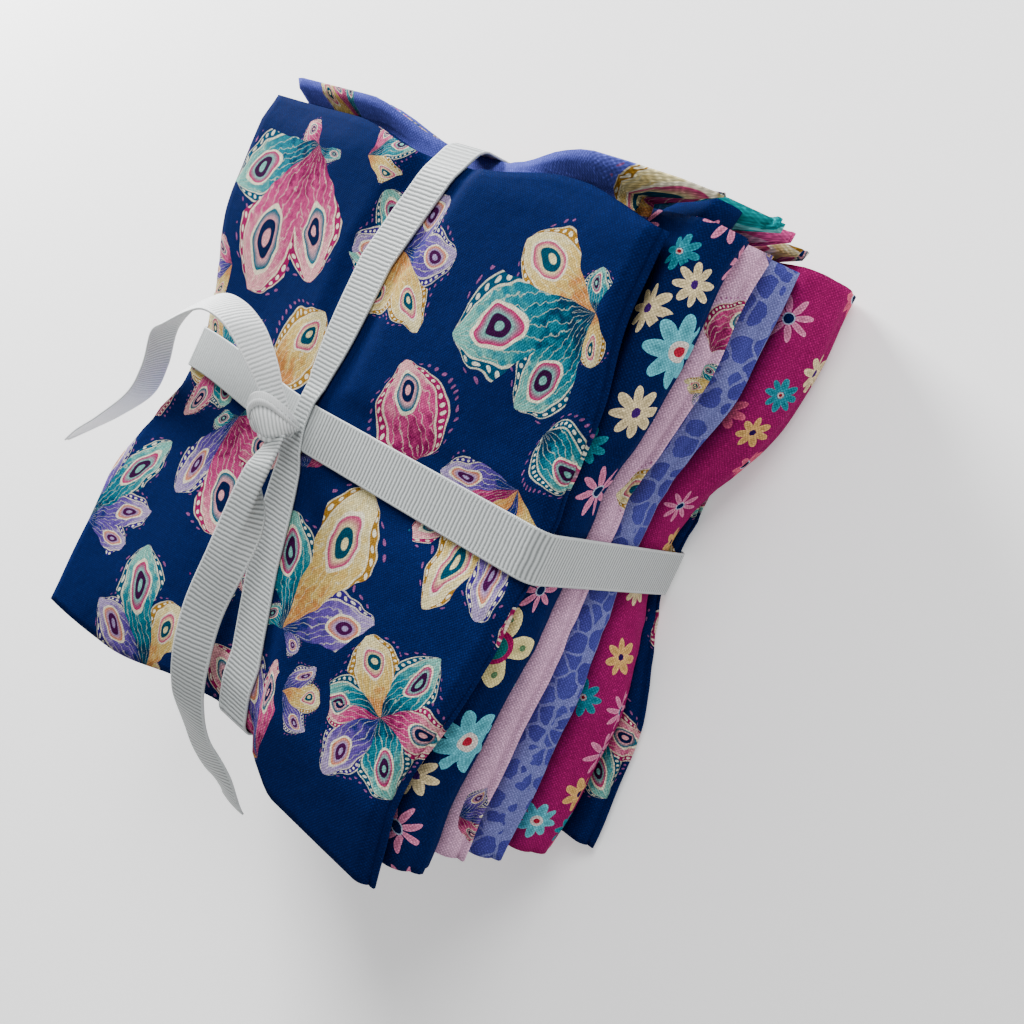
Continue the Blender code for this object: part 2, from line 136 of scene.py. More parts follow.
def rippled(x, y, z):  # soft unevenness that all the cloths share, so that none cuts another
    h = depth(z)
    edge = (min(abs(x), 66) / 66) ** 2
    free = 1 - fade(y, press["half"], 9)
    face = math.sin(0.083 * x + 0.9) * math.sin(0.061 * y + 0.4) + 0.5 * math.sin(0.13 * x - 0.11 * y)
    side = math.sin(0.12 * y + 0.05 * z + 1.1) + 0.5 * math.sin(0.27 * y - 0.11 * z)
    pucker = math.sin(y * 2 * math.pi / ripples["puckerPitch"] + 0.08 * x + 0.6)
    pucker *= math.exp(-abs(abs(y) - 9) / ripples["puckerReach"] * 2.4) * edge * free
    dz = (ripples["face"] * face * free - ripples["pucker"] * 0.35 * (1 - pucker)) * h**3
    dz *= 1 - fade(x - ribbonX(y, z), press["half"], 8)
    dx = (ripples["side"] * side * 0.6 + ripples["pucker"] * 0.5 * pucker) * edge * free
    return (dx if x > 0 else -dx), dz


def tied(x, y, z):  # where a place of the plain stack lies once it is pressed and tied
    h = depth(z)
    across = fade(y, press["half"], press["fade"])
    along = fade(x - ribbonX(y, z), press["half"], press["fade"])
    wide = fade(y - press["pinchY"], press["half"], press["pinchLength"])
    reach = (min(abs(x), stack["halfWidth"]) / stack["halfWidth"]) ** press["pinchPower"]
    pinch = press["left"] if x < 0 else lerp(press["rightBack"], press["rightTop"], h)
    squash = press["edgeSquash"] * wide * reach
    squash += press["endSquash"] * along * (y / stack["halfWidth"]) ** 2
    end = max(abs(y) - stack["roundingFar" if y > 0 else "roundingNear"], 0) / stack["roundingLength"]
    lift = press["backHollow"] * max(across, along) + press["crossingHollow"] * across * along
    half = stack["ply"] / 2
    dx, dz = rippled(x, y, z)
    movedX = x - math.copysign(pinch * wide * reach, x) + dx
    movedY = y + stack["shear"] * (1 - h)
    movedZ = half + (z - half) * (1 - squash) + dz
    end *= 1 if y > 0 else rise(x, *stack["roundingX"])
    movedZ -= press["faceHollow"] * max(across, along) * h**3 + stack["faceRounding"] * end * h * h
    movedZ += lift * (1 - h) ** 6
    return Vector((movedX, movedY, movedZ))


def share(cloth, x):  # the lower and upper limit of a cloth's layer at x
    knots = [-stack["halfWidth"], -stack["innerX"], 0, stack["innerX"], stack["halfWidth"]]
    x = min(max(x, knots[0]), knots[-1])
    index = next(i for i in range(1, 5) if x <= knots[i])
    t = (x - knots[index - 1]) / (knots[index] - knots[index - 1])
    shares = []
    for row in cloths:
        values = (row.left, row.innerLeft, row.middle, row.innerRight, row.right)
        shares.append(lerp(values[index - 1], values[index], t))
    place = cloths.index(cloth)
    scale = stack["height"] / sum(shares)
    low = sum(shares[place + 1:]) * scale
    return low, low + shares[place] * scale


def run(start, stop, count):  # count places from start up to, but not at, stop
    return [lerp(start, stop, step / count) for step in range(count)]


def arc(centreU, centreZ, reach, height, start, stop, steps, power=1.0):
    points = []
    for step in range(steps):
        angle = math.radians(lerp(start, stop, step / steps))
        c, s = math.cos(angle), math.sin(angle)
        points.append((centreU + reach * math.copysign(abs(c) ** power, c),
                       centreZ + height * math.copysign(abs(s) ** power, s)))
    return points


def section(cloth, y):  # the four plies at y as one line, with the same count of points at each y
    side = cloth.fold
    outermost = cloth in (cloths[0], cloths[-1])
    shown = 66 if outermost else 30
    loose = 1 - fade(y, press["half"], stack["looseLength"])
    out = lerp(cloth.outNear, cloth.outFar, (y + stack["halfWidth"]) / (2 * stack["halfWidth"]))
    if cloth is cloths[0]:  # the face narrows towards its ends
        loose = rise(abs(y), *stack["faceNarrows"])
    foldU = stack["halfWidth"] + out * loose
    openU = -stack["openX"]
    if outermost:
        openU = -lerp(stack["outerOpenTied"], stack["outerOpenX"], loose)
    half = stack["ply"] / 2
    floor = 0 if cloth is cloths[-1] else stack["clearance"] / 2

    def low(u):
        return share(cloth, u * side)[0] + floor + half

    def high(u):
        return share(cloth, u * side)[1] - stack["clearance"] / 2 - half

    def pitch(u):
        return min(stack["plyPitch"], (high(u) - low(u)) / 3.05)

    tall = high(foldU) - low(foldU)
    corner = min(stack["corner"], tall / 2.05)
    turn = pitch(openU) / 2
    tuckedU = openU + 2.4
    innerU = foldU - corner - 1.2
    top, bottom = high(foldU), low(foldU)
    line = [(u, high(u)) for u in run(openU, foldU - corner, shown)]
    line += arc(foldU - corner, top - corner, corner, corner, 90, 0, 7)
    for t in run(0, 1, 5):
        swell = stack["swell"] * (0.35 + 0.65 * loose) * math.sin(math.pi * t)
        line.append((foldU + swell, lerp(top - corner, bottom + corner, t)))
    line += arc(foldU - corner, bottom + corner, corner, corner, 0, -90, 7)
    under = shown if cloth is cloths[-1] else 24
    line += [(u, low(u)) for u in run(foldU - corner, openU + turn, under)]
    line += arc(openU + turn, low(openU) + turn, turn, turn, -90, -270, 6)
    line += [(u, low(u) + pitch(u)) for u in run(openU + turn, innerU - 2.5, 20)]
    room = (high(innerU) - low(innerU)) / 2 - pitch(innerU)
    line += arc(innerU - 2.5, (high(innerU) + low(innerU)) / 2, 4, room, -90, 90, 8)
    line += [(u, high(u) - pitch(u)) for u in run(innerU - 2.5, tuckedU, 20)]
    line.append((tuckedU, high(tuckedU) - pitch(openU)))
    return [(u * side, z) for u, z in line]


def held(x, y):  # how firmly the lengthwise ribbon holds an end, from 0 to 1
    off = x - ribbonX(y, stack["height"] / 2)
    if y > 0:
        return fade(off, stack["heldHalf"], stack["heldLength"])
    if off < 0:
        return fade(off, stack["heldHalf"], stack["heldNearLeft"])
    return fade(off, stack["heldNearHalf"], stack["heldNearRight"])


def endY(cloth, x, far):  # where an end of a cloth lies at x, drawn in under the ribbon
    if far:
        own = cloth.far
        if cloth is cloths[0]:
            own -= stack["faceSlant"] * rise(x, *stack["faceSlantX"])
        if cloth.name in farEnds and not cloth.lip:
            own = lerp(stack["openFar"], own, rise(x, *stack["openFarX"]))
        drawn = stack["tiedFar"] - (0 if cloth.lip else stack["endRoom"])
    else:
        own = -cloth.near
        drawn = stack["tiedNear"] - (0 if cloth.fold < 0 else stack["nearRoom"])
    end = lerp(own, drawn, held(x, own if far else -own))
    return end if far else -end


def sheetPiece(name, rows, places, thickness, joined=False):  # a skin over rows of points
    columns = len(rows[0])
    mesh = bpy.data.meshes.new(name)
    sheet = bmesh.new()
    bmesh.ops.create_grid(sheet, x_segments=columns - 1, y_segments=len(rows) - 1, size=0.5)
    flat = sheet.loops.layers.uv.new("flatCloth")
    spot = {}
    for vertex in sheet.verts:
        column = round((vertex.co.x + 0.5) * (columns - 1))
        row = round((vertex.co.y + 0.5) * (len(rows) - 1))
        spot[vertex] = (row, column)
        vertex.co = rows[row][column] * mm
    for face in sheet.faces:
        face.smooth = True
        for loop in face.loops:
            row, column = spot[loop.vert]
            loop[flat].uv = places[row][column]
    if joined:
        bmesh.ops.remove_doubles(sheet, verts=sheet.verts, dist=0.001 * mm)
    bmesh.ops.recalc_face_normals(sheet, faces=sheet.faces)
    sheet.to_mesh(mesh)
    sheet.free()
    piece = bpy.data.objects.new(name, mesh)
    bpy.context.scene.collection.objects.link(piece)
    solid = piece.modifiers.new("Thickness", "SOLIDIFY")
    solid.thickness = thickness * mm
    solid.offset = 0
    return piece


# The open far corners: how far each reaches to the side, rises, and spreads up and down
farEnds = {
    "cloth_periwinkle": {"reach": 18, "raise": -2.5, "up": 2.5, "down": 2.0, "nose": 12},
    "cloth_teal_dots": {"reach": 21, "raise": 1.5, "up": 8.5, "down": 9.5, "nose": 20},
    "cloth_pink_dots": {"reach": 18, "raise": 3.5, "up": 2.5, "down": 2.0, "nose": 10},
    "cloth_cream": {"reach": 15, "raise": 4.5, "up": 1.5, "down": 1.5, "nose": 6},
}
opening = {"halfHeight": 2.6, "x": (34, 49.5), "y": (70.2, 73.6), "noseX": (45, 49.5), "noseShare": 0.2}
sag = {"drop": 5.0, "x": (54, 64), "y": (4, 40), "z": (5, 20)}  # the magenta fold hangs
inner = {"from": 76, "out": 5, "x": (48, 58)}  # the navy daisy cloth's plies stick out
curling = {"before": 4.8, "until": 0.6, "rows": 78}


def openedEnd(cloth, x, y, z):  # how far a place at an open far corner is moved
    end = farEnds[cloth.name]
    low, high = share(cloth, x)
    place = (z - (low + high) / 2) / opening["halfHeight"]
    out = rise(x, *opening["x"])
    loose = rise(y, *opening["y"])
    spread = place * math.sin(math.pi * min(out, 0.999) ** 0.7) ** 0.6
    spread *= end["up"] if place > 0 else end["down"]
    curve = end["nose"] * place * rise(x, *opening["noseX"]) * opening["noseShare"]
    return Vector((end["reach"] * out * out, 0, end["raise"] * out + spread - curve)) * loose


def clothPiece(cloth):
    rows, places = [], []
    for t in [step / curling["rows"] for step in range(curling["rows"] + 1)]:
        level = lerp(cloth.near, cloth.far, t)
        row, place = [], []
        line = section(cloth, level)
        lengths = [0.0]
        for a, b in zip(line, line[1:]):
            lengths.append(lengths[-1] + math.dist(a, b))
        foldAt = max(range(len(line)), key=lambda i: line[i][0] * cloth.fold)
        for column, ((x, z), length) in enumerate(zip(line, lengths)):
            far = edge = endY(cloth, x, True)
            if cloth.name == "cloth_navy_daisy" and column > inner["from"]:
                far += inner["out"] * rise(x, *inner["x"])
            y = lerp(endY(cloth, x, False), far, t)
            spot = tied(x, y, z)
            curl = rise(y, edge - curling["before"], edge - curling["until"])
            spot.z += cloth.lip * curl * (1 - held(x, y))
            if cloth.name == "cloth_magenta":
                hangs = rise(x, *sag["x"]) * rise(y, *sag["y"]) * (1 - rise(z, *sag["z"]))
                spot.z -= sag["drop"] * hangs
            if cloth.name in farEnds:
                spot += openedEnd(cloth, x, y, z)
            row.append(spot + stack["shift"])
            place.append((length - lengths[foldAt], y))
        rows.append(row)
        places.append(place)
    piece = sheetPiece("fold_" + cloth.name[6:], rows, places, stack["ply"])
    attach(piece, "root")
    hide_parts(cloth.name)
    return piece


pieces = {cloth.name: clothPiece(cloth) for cloth in cloths}
print("cloths folded")


def stripPiece(name, stations, joined=False):  # stations: middle, half width, upward, fold in degrees
    across = [-1, -0.94, -0.75, -0.5, -0.3, -0.24, -0.2, -0.16, -0.12, -0.08, -0.04, 0,
              0.2, 0.4, 0.6, 0.8, 0.94, 1]
    rows, places = [], []
    travelled = 0.0
    for index, (middle, half, up, fold) in enumerate(stations):
        travelled += (middle - stations[max(index - 1, 0)][0]).length
        points = {0: middle}
        for side in (1, -1):  # outward from the middle, turning back on itself where it is folded
            spot, last = middle, 0
            for a in sorted((a for a in across if a * side > 0), key=abs):
                turn = math.radians(fold) * (1 - rise((a + last) / 2, -0.24, -0.06))
                spot = spot + (half * math.cos(turn) - up * half.length * math.sin(turn)) * (a - last)
                points[a] = spot
                last = a
        rows.append([points[a] + up * ribbonPath["crown"] * (1 - a * a) for a in across])
        places.append([(travelled, ribbonPath["width"] / 2 * a) for a in across])
    return sheetPiece(name, rows, places, ribbonPath["thick"], joined)


def acrossY(x, z):  # the ribbon across slants a little on the face, left of the knot
    return ribbonPath["slant"] * rise(-x, 0, 62) * rise(z, 30, stack["height"])


def station(ends):  # a place on a loop from the two edges of the ribbon there
    return (ends[0] + ends[1]) / 2, (ends[1] - ends[0]) / 2, Vector((0, 0, 0)), 0


def loopAcross():
    off = ribbonPath["gap"] + ribbonPath["thick"] / 2
    edge = ribbonPath["edgeAcross"] + off
    cornerX = stack["halfWidth"] + press["sideEase"] + off - edge
    top, bottom = stack["height"] + off, -off
    line = [(x, top) for x in run(-cornerX, cornerX, 60)]
    line += arc(cornerX, top - edge, edge, edge, 90, 0, 8)
    line += [(cornerX + edge, z) for z in run(top - edge, bottom + edge, 24)]
    line += arc(cornerX, bottom + edge, edge, edge, 0, -90, 8)
    line += [(x, bottom) for x in run(cornerX, -cornerX, 60)]
    line += arc(-cornerX, bottom + edge, edge, edge, -90, -180, 8)
    line += [(-cornerX - edge, z) for z in run(bottom + edge, top - edge, 24)]
    line += arc(-cornerX, top - edge, edge, edge, -180, -270, 8)
    line.append(line[0])
    stations = []
    for x, z in line:
        drift = Vector((0, press["drift"] * (1 - depth(z)) - acrossY(x, z), 0))
        half = ribbonPath["width"] / 2
        stations.append(station([tied(x, y, z) - drift + stack["shift"] for y in (-half, half)]))
    return stations


def loopAlong():
    off = ribbonPath["gap"] + ribbonPath["thick"] / 2
    over = ribbonPath["thick"] + ribbonPath["gap"]
    far, near = stack["tiedFar"] + off, -stack["tiedNear"] - off
    top, bottom = stack["height"] + off, -off

    def hump(y):
        return over * fade(y, ribbonPath["humpHalf"], ribbonPath["humpLength"])

    turn = ribbonPath["edgeAlong"]
    line = [(y, top + hump(y)) for y in run(near + turn, far - turn, 70)]
    line += arc(far - turn, top - turn, turn, turn, 90, 0, 8)
    line += [(far, z) for z in run(top - turn, bottom + turn, 24)]
    line += arc(far - turn, bottom + turn, turn, turn, 0, -90, 8)
    line += [(y, bottom - hump(y)) for y in run(far - turn, near + turn, 70)]
    line += arc(near + turn, bottom + turn, turn, turn, -90, -180, 8)
    line += [(near, z) for z in run(bottom + turn, top - turn, 24)]
    line += arc(near + turn, top - turn, turn, turn, -180, -270, 8)
    line.append(line[0])
    stations = []
    for y, z in line:
        x = ribbonX(y, z)
        gather = math.exp(-((y - ribbonPath["gatherY"]) / ribbonPath["gatherLength"]) ** 2)
        wide = ribbonPath["width"] / 2 * (1 - ribbonPath["gather"] * gather * rise(z, 40, 60))
        stations.append(station([tied(x + a, y, z) + stack["shift"] for a in (-wide, wide)]))
    return stations


# Free ends from the knot out: middle x, y, z, the turn of the width about it, width, lengthwise fold
sideTail = [
    (-7.4, 0.9, 73.6, -40, 4.5, 0), (-9.2, 4.0, 76.0, -40, 5, 0), (-12.4, 9.1, 79.4, -46, 6.5, 0),
    (-18.6, 14.6, 82.7, -62, 8.5, 0), (-26.5, 16.6, 84.0, -60, 10, 0),
    (-34.6, 15.1, 83.5, -48, 10.2, 0),
    (-47.9, 9.5, 79.5, -48, 9.5, 0), (-58.1, 4.0, 75.0, -62, 8.5, 0), (-65.2, -5.9, 69.0, -72, 8, 0),
    (-73.3, -15.2, 64.5, -76, 8, 0), (-89.3, -26.1, 60.0, -72, 7.5, 0),
    (-101.0, -34.0, 58.0, -70, 6.0, 0),
    (-110.0, -40.6, 56.6, -70, 1.2, 0),
]
nearTail = [
    (-3.9, -2.0, 72.6, 0, 8.0, -172), (-2.8, -4.6, 73.9, 4, 9.0, -172), (-1.3, -7.4, 75.2, 8, 10, -168),
    (-0.1, -11.0, 76.5, 12, 10.5, -158), (0.2, -15.9, 77.0, 16, 10.5, -125),
    (0.2, -23.1, 77.0, 18, 10.5, -60),
    (0.3, -32.7, 77.0, 18, 10.5, -15), (-0.8, -45.2, 76.0, 18, 10.5, 0),
    (0.3, -56.8, 74.5, 14, 10.5, 0),
    (0.5, -66.3, 70.5, 8, 10.5, 0), (1.2, -75.6, 63.0, -4, 10.5, 0), (4.4, -84.0, 54.5, -9, 10.5, 0),
    (5.3, -89.5, 49.0, -9, 10.5, 0),
]


def tailLine(table):
    points = smoothLine(table, 9)
    stations = []
    for index, (x, y, z, turn, width, fold) in enumerate(points):
        before = points[max(index - 1, 0)]
        after = points[min(index + 1, len(points) - 1)]
        along = (Vector(after[:3]) - Vector(before[:3])).normalized()
        level = along.cross(Vector((0, 0, 1))).normalized()
        lift = level.cross(along)
        angle = math.radians(turn)
        half = (level * math.cos(angle) + lift * math.sin(angle)) * width / 2
        up = half.cross(along).normalized()
        stations.append((Vector((x, y, z)) + stack["shift"], half, up, fold))
    return stations


ribbonPieces = {}
for name, stations in (
    ("ribbon_across", loopAcross()), ("ribbon_along", loopAlong()),
    ("ribbon_tail_side", tailLine(sideTail)), ("ribbon_tail_near", tailLine(nearTail)),
):
    loose = "tail" in name
    strip = stripPiece("white_" + name, stations, joined=not loose)
    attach(strip, "root")
    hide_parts(name)
    ribbonPieces[name] = strip
print("ribbon tied")

# The knot, measured as it is seen from the camera: right, up and towards it, in mm
knot = {
    "middle": Vector((-7.8, -1.3, 74.0)), "right": Vector((0.687, 0.424, -0.591)),
    "up": Vector((-0.385, 0.901, 0.199)), "towards": Vector((0.617, 0.091, 0.782)),
    "roll": 1.4, "bulge": 0.8, "thick": 0.4,
    "upperEdge": [(-5.3, 0.6, -0.4), (-5.0, 1.8, 1.4), (-4.2, 2.9, 2.5), (-2.9, 3.5, 3.2),
                  (-1.2, 3.4, 3.6),
                  (0.6, 2.5, 3.6), (2.3, 1.1, 3.1), (3.9, -0.4, 2.0), (5.0, -1.6, 0.4),
                  (5.4, -2.0, -1.4)],
    "lowerEdge": [(-3.4, -1.6, -0.6), (-3.2, -2.5, 0.6), (-2.6, -3.3, 1.5), (-1.6, -3.9, 2.2),
                  (-0.3, -4.1, 2.6),
                  (1.3, -4.0, 2.6), (2.9, -3.6, 2.2), (4.2, -3.1, 1.2), (5.1, -2.6, 0),
                  (5.4, -2.4, -1.4)],
    "core": [(-4.2, -0.4, -1.6, 0.7), (-2.0, -0.4, -0.2, 1.0), (1.0, -1.0, 0.2, 1.0),
             (4.2, -1.8, -1.4, 0.6)],
    "lip": [(-3.0, -2.4, -0.6, 0.6), (-2.2, -3.6, 0.7, 0.9), (-0.4, -4.3, 1.4, 0.9),
            (1.6, -4.0, 1.0, 0.7), (2.8, -3.0, -0.4, 0.5)],
}


def seen(point):
    place = knot["right"] * point[0] + knot["up"] * point[1] + knot["towards"] * point[2]
    return knot["middle"] + place + stack["shift"]


def ropeRows(path, width, height):  # gathered ribbon along a line
    points = [(seen(p), p[3]) for p in smoothLine(path, 12)]
    rows, places = [], []
    travelled = 0.0
    for index, (point, size) in enumerate(points):
        before = points[max(index - 1, 0)][0]
        after = points[min(index + 1, len(points) - 1)][0]
        along = (after - before).normalized()
        level = along.cross(knot["towards"]).normalized()
        lift = level.cross(along)
        travelled += (point - before).length if index else 0
        row, place = [], []
        for step in range(25):
            angle = 2 * math.pi * step / 24
            fold = 1 + 0.08 * math.cos(3 * angle + 0.5)
            outward = level * math.cos(angle) * width + lift * math.sin(angle) * height
            row.append(point + outward * fold * size)
            place.append((travelled, 4.6 * math.sin(angle)))
        rows.append(row)
        places.append(place)
    return rows, places


def wrapRows():  # the turn over the knot, its upper edge rolled and its lower one tucked under
    upper, lower = smoothLine(knot["upperEdge"], 8), smoothLine(knot["lowerEdge"], 8)
    rows, places = [], []
    travelled = 0.0
    for index, (p, q) in enumerate(zip(upper, lower)):
        p, q = Vector(p), Vector(q)
        if index:
            travelled += (p - Vector(upper[index - 1])).length * 0.5
            travelled += (q - Vector(lower[index - 1])).length * 0.5
        narrow = min(1.0, (p - q).length / 3.0)
        row = [q + Vector((0, 0.9, -1.3)) * narrow, q + Vector((0, 0.1, -0.7)) * narrow]
        for step in range(11):
            t = step / 10
            crease = 0.35 * math.exp(-((t - 0.88) / 0.1) ** 2)
            bulge = knot["bulge"] * math.sin(math.pi * t) * narrow - crease
            row.append(q.lerp(p, t) + Vector((0, 0, bulge)))
        size = knot["roll"] * (0.45 + 0.55 * narrow)
        centre = p + Vector((0, size * 0.5, size * 0.2))
        for step in range(1, 13):
            angle = math.radians(-60 - 27 * step)
            row.append(centre + Vector((0, -math.sin(angle + 0.6), math.cos(angle + 0.6))) * size)
        rows.append([seen(point) for point in row])
        widths = [lerp(-4.6, 4.6, column / 12) if column < 13 else 5 for column in range(len(row))]
        places.append([(travelled * 1.1, width) for width in widths])
    return rows, places


knotPieces = []
for name, (rows, places) in (
    ("core", ropeRows(knot["core"], 3.0, 2.4)), ("wrap", wrapRows()),
    ("lip", ropeRows(knot["lip"], 0.9, 0.9)),
):
    piece = sheetPiece("white_knot_" + name, rows, places, knot["thick"], joined=True)
    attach(piece, "root")
    knotPieces.append(piece)
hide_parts("ribbon_knot")
print("knot tied")


def newMaterial(name):
    material = bpy.data.materials.new(name)
    material.use_nodes = True
    tree = material.node_tree
    return material, tree, tree.nodes["Principled BSDF"]


def put(tree, socket, value):
    if isinstance(value, bpy.types.NodeSocket):
        tree.links.new(value, socket)
    elif isinstance(value, (tuple, list, Vector)) and socket.type == "RGBA":
        socket.default_value = (*value[:3], 1)
    elif value is not None:
        socket.default_value = value


def maths(tree, operation, *values, clamp=False):
    node = tree.nodes.new("ShaderNodeMath")
    node.operation = operation
    node.use_clamp = clamp
    for socket, value in zip(node.inputs, values):
        put(tree, socket, value)
    return node.outputs[0]


def times(tree, *values):
    return maths(tree, "MULTIPLY", *values)


def timesPlus(tree, *values):
    return maths(tree, "MULTIPLY_ADD", *values)


def minus(tree, *values):
    return maths(tree, "SUBTRACT", *values)


def below(tree, *values):
    return maths(tree, "LESS_THAN", *values)


def vectors(tree, operation, *values, scale=None):
    node = tree.nodes.new("ShaderNodeVectorMath")
    node.operation = operation
    for socket, value in zip(node.inputs, values):
        put(tree, socket, value)
    if scale is not None:
        put(tree, node.inputs["Scale"], scale)
    return node.outputs["Value"] if operation == "LENGTH" else node.outputs[0]


def mixed(tree, kind, factor, a, b):
    node = tree.nodes.new("ShaderNodeMix")
    node.data_type = kind
    first, second, result = {"RGBA": (6, 7, 2), "VECTOR": (4, 5, 1), "FLOAT": (2, 3, 0)}[kind]
    put(tree, node.inputs[0], factor)
    put(tree, node.inputs[first], a)
    put(tree, node.inputs[second], b)
    return node.outputs[result]


def colour(tree, factor, a, b):
    return mixed(tree, "RGBA", factor, a, b)


def byKind(tree, kind, values):  # one value for each kind, numbers or screen colours
    node = tree.nodes.new("ShaderNodeValToRGB")
    node.color_ramp.interpolation = "CONSTANT"
    elements = node.color_ramp.elements
    elements.remove(elements[1])
    for index, value in enumerate(values):
        element = elements[0] if index == 0 else elements.new(index / len(values))
        element.position = index / len(values)
        element.color = (*(linear(value) if isinstance(value, tuple) else (value,) * 3), 1)
    put(tree, node.inputs[0], timesPlus(tree, kind, 1 / len(values), 0.5 / len(values)))
    return node.outputs[0]


def split(tree, vector):
    node = tree.nodes.new("ShaderNodeSeparateXYZ")
    put(tree, node.inputs[0], vector)
    return node.outputs


def joinedUp(tree, x, y, z=0.0):
    node = tree.nodes.new("ShaderNodeCombineXYZ")
    for socket, value in zip(node.inputs, (x, y, z)):
        put(tree, socket, value)
    return node.outputs[0]


def spanOf(tree, x, y):
    return vectors(tree, "LENGTH", joinedUp(tree, x, y))


def smooth(tree, value, start, stop):
    node = tree.nodes.new("ShaderNodeMapRange")
    node.interpolation_type = "SMOOTHSTEP"
    for socket, number in zip(node.inputs, (value, start, stop, 0.0, 1.0)):
        put(tree, socket, number)
    return node.outputs[0]


def noise(tree, vector, scale, detail=2.0, roughness=0.5):
    node = tree.nodes.new("ShaderNodeTexNoise")
    node.inputs["Scale"].default_value = scale
    node.inputs["Detail"].default_value = detail
    node.inputs["Roughness"].default_value = roughness
    put(tree, node.inputs["Vector"], vector)
    return node.outputs


def warped(tree, place, scale, amount):
    wavy = vectors(tree, "SUBTRACT", noise(tree, place, scale, 1.0)[1], (0.5, 0.5, 0.5))
    return vectors(tree, "ADD", place, vectors(tree, "SCALE", wavy, scale=amount))


def nearestMotif(tree, place, chart, tile, bases=None):  # a place within the motif on it
    found = (9, 9, 0)
    for x, y, radius, kind, turn in chart:
        moved = vectors(tree, "SUBTRACT", place, (x, y, 0))
        moved = vectors(tree, "WRAP", moved, (tile[0] / 2, tile[1] / 2, 1),
                        (-tile[0] / 2, -tile[1] / 2, -1))
        inside = below(tree, vectors(tree, "LENGTH", moved), radius * 1.04)
        node = tree.nodes.new("ShaderNodeMapping")
        put(tree, node.inputs["Vector"], moved)
        node.inputs["Rotation"].default_value = (0, 0, math.radians(-turn))
        node.inputs["Scale"].default_value = (1 / radius, 1 / radius, 0)
        node.inputs["Location"].default_value = (bases[int(kind)] if bases else 0, 0, kind)
        found = mixed(tree, "VECTOR", inside, found, node.outputs[0])
    return found


# A plain weave: threads over and under each other, some paler, and pale flecks
weave = {"thread": 0.37, "bump": 0.5, "contrast": 0.5, "flecks": 0.6, "depth": 1.4, "gain": 0.9}


def seenAs(screen):  # the colour that the deepening in clothFinish brings back to the one given
    return tuple(c ** (1 / weave["depth"]) for c in linear(screen))


def clothFinish(tree, shader, place, base):
    x, y, _ = split(tree, warped(tree, place, 0.8, 0.35))
    turns = math.pi / weave["thread"]
    across = maths(tree, "SINE", times(tree, x, turns))
    along = maths(tree, "SINE", times(tree, y, turns))
    check = times(tree, across, along)
    runX = noise(tree, vectors(tree, "MULTIPLY", place, (0.3, 3.4, 1)), 1.0, 1.0)[0]
    runY = noise(tree, vectors(tree, "MULTIPLY", place, (3.4, 0.3, 1)), 1.0, 1.0)[0]
    threads = minus(tree, maths(tree, "ADD", runX, runY), 1.0)
    level = maths(tree, "ADD", times(tree, check, 0.5), times(tree, threads, 0.8))
    fine = noise(tree, vectors(tree, "MULTIPLY", place, (2.6, 2.6, 1)), 1.0, 1.0)[0]
    fleck = smooth(tree, maths(tree, "ADD", fine, times(tree, level, 0.22)), 0.56, 0.74)
    tone = timesPlus(tree, level, weave["contrast"], weave["gain"])
    tone = timesPlus(tree, fleck, weave["flecks"], tone)
    deep = tree.nodes.new("ShaderNodeGamma")
    put(tree, deep.inputs[0], base)
    deep.inputs[1].default_value = weave["depth"]
    put(tree, shader.inputs["Base Color"], vectors(tree, "SCALE", deep.outputs[0], scale=tone))
    bump = tree.nodes.new("ShaderNodeBump")
    bump.inputs["Strength"].default_value = weave["bump"]
    bump.inputs["Distance"].default_value = 0.1 * mm
    put(tree, bump.inputs["Height"], level)
    soft = tree.nodes.new("ShaderNodeBump")
    soft.inputs["Strength"].default_value = 0.6
    soft.inputs["Distance"].default_value = 0.9 * mm
    put(tree, soft.inputs["Height"], noise(tree, place, 0.1, 3.0, 0.6)[0])
    put(tree, soft.inputs["Normal"], bump.outputs[0])
    put(tree, shader.inputs["Normal"], soft.outputs[0])
    shader.inputs["Roughness"].default_value = 0.9
    shader.inputs["Specular IOR Level"].default_value = 0.03
    shader.inputs["Sheen Weight"].default_value = 0.03
    put(tree, shader.inputs["Sheen Tint"], deep.outputs[0])


# Daisies: aqua, cream, small teal, slender pink, gold, large cream, coral
daisyKinds = {
    "petals": [8, 8, 8, 8, 7, 5, 8],
    "width": [0.215, 0.19, 0.20, 0.13, 0.22, 0.27, 0.20],
    "petal": [(118, 190, 202), (225, 210, 174), (59, 149, 162), (217, 149, 178), (217, 182, 127),
              (221, 210, 162),
              (217, 118, 145)],
    "ring": [(215, 205, 200), (100, 60, 135), (200, 190, 190), (185, 195, 210), (95, 45, 115),
             (165, 40, 110), (190, 205, 220)],
    "heart": [(180, 60, 85), (90, 50, 130), (150, 45, 60), (5, 50, 100), (60, 30, 100),
              (25, 130, 130), (10, 30, 80)],
    "ringSize": [0.29, 0.20, 0.17, 0.25, 0.18, 0.42, 0.27],
    "heartSize": [0.14, 0.16, 0.10, 0.20, 0.15, 0.30, 0.21],
}


